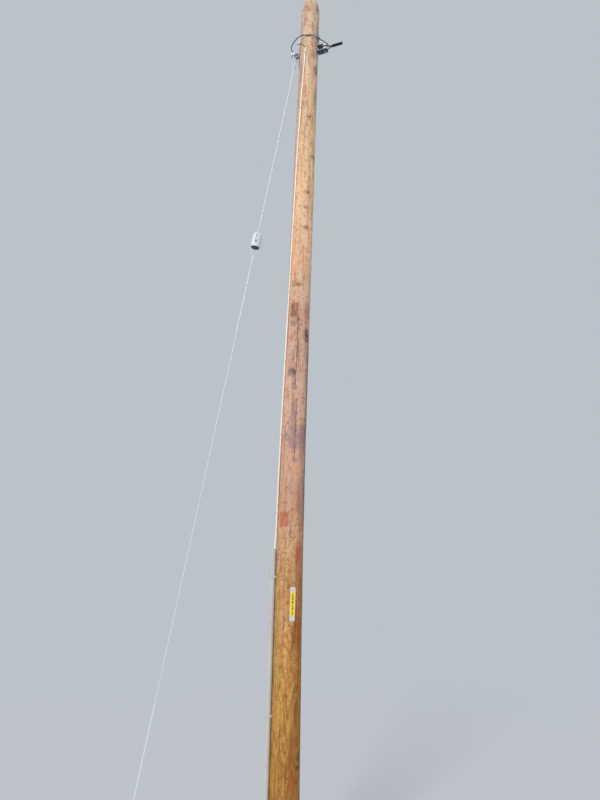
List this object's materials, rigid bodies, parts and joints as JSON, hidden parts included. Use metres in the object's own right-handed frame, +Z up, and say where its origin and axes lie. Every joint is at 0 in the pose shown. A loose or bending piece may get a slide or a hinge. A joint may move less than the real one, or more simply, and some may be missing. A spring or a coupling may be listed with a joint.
{
  "type": "wooden utility pole",
  "caption": "Round tapered timber utility pole with a spool bracket, an insulated down guy to its anchor rod, a ground lead in conduit and a number tag.",
  "frame": {"origin": "middle of the pole's flat foot at ground level", "axes": "+Z up the pole, +X the way the line leaves, the guy comes down on the -X side"},
  "size_m": [1.6606, 0.2241, 7.62],
  "materials": {
    "timber": "rough, weathered",
    "bolt_steel": "hot-dip galvanised",
    "plate_steel": "dull galvanised",
    "bracket_steel": "hot-dip galvanised",
    "rod_steel": "hot-dip galvanised, dull",
    "guy_strand": "galvanised wire",
    "porcelain": "glazed, glossy",
    "black_sheath": "satin",
    "staple_steel": "galvanised",
    "clamp_metal": "bright",
    "cream_sheath": "satin",
    "bare_copper": "dulled copper",
    "conduit_pvc": "satin",
    "strap_steel": "galvanised",
    "tag_aluminium": "satin",
    "tag_yellow": "satin"
  },
  "bodies": {
    "root": {"pole_shaft": "timber", "through_bolt": "bolt_steel", "strain_plate": "plate_steel", "thimble_eye_nut": "bolt_steel", "plate_nails": "plate_steel", "spool_clevis": "bracket_steel", "spool_insulator": "porcelain", "spool_pin": "bolt_steel", "spool_cotter": "bolt_steel", "upper_bolt": "bolt_steel", "upper_bolt_nut": "bolt_steel", "upper_washer_front": "plate_steel", "upper_washer_back": "plate_steel", "guy_grip_top": "guy_strand", "guy_strand_upper": "guy_strand", "insulator_grip_upper": "guy_strand", "guy_insulator": "porcelain", "insulator_grip_lower": "guy_strand", "guy_strand_lower": "guy_strand", "guy_grip_bottom": "guy_strand", "anchor_rod": "rod_steel", "bond_jumper": "black_sheath", "jumper_serving": "black_sheath", "jumper_staple": "staple_steel", "bond_clamp": "clamp_metal", "ground_lead": "cream_sheath", "ground_lead_end": "bare_copper", "lead_staples": "staple_steel", "conduit": "conduit_pvc", "conduit_straps": "strap_steel", "strap_screws": "strap_steel", "tag_holder": "tag_aluminium", "tag_strip": "tag_yellow", "tag_nails": "tag_aluminium"}
  },
  "joints": []
}
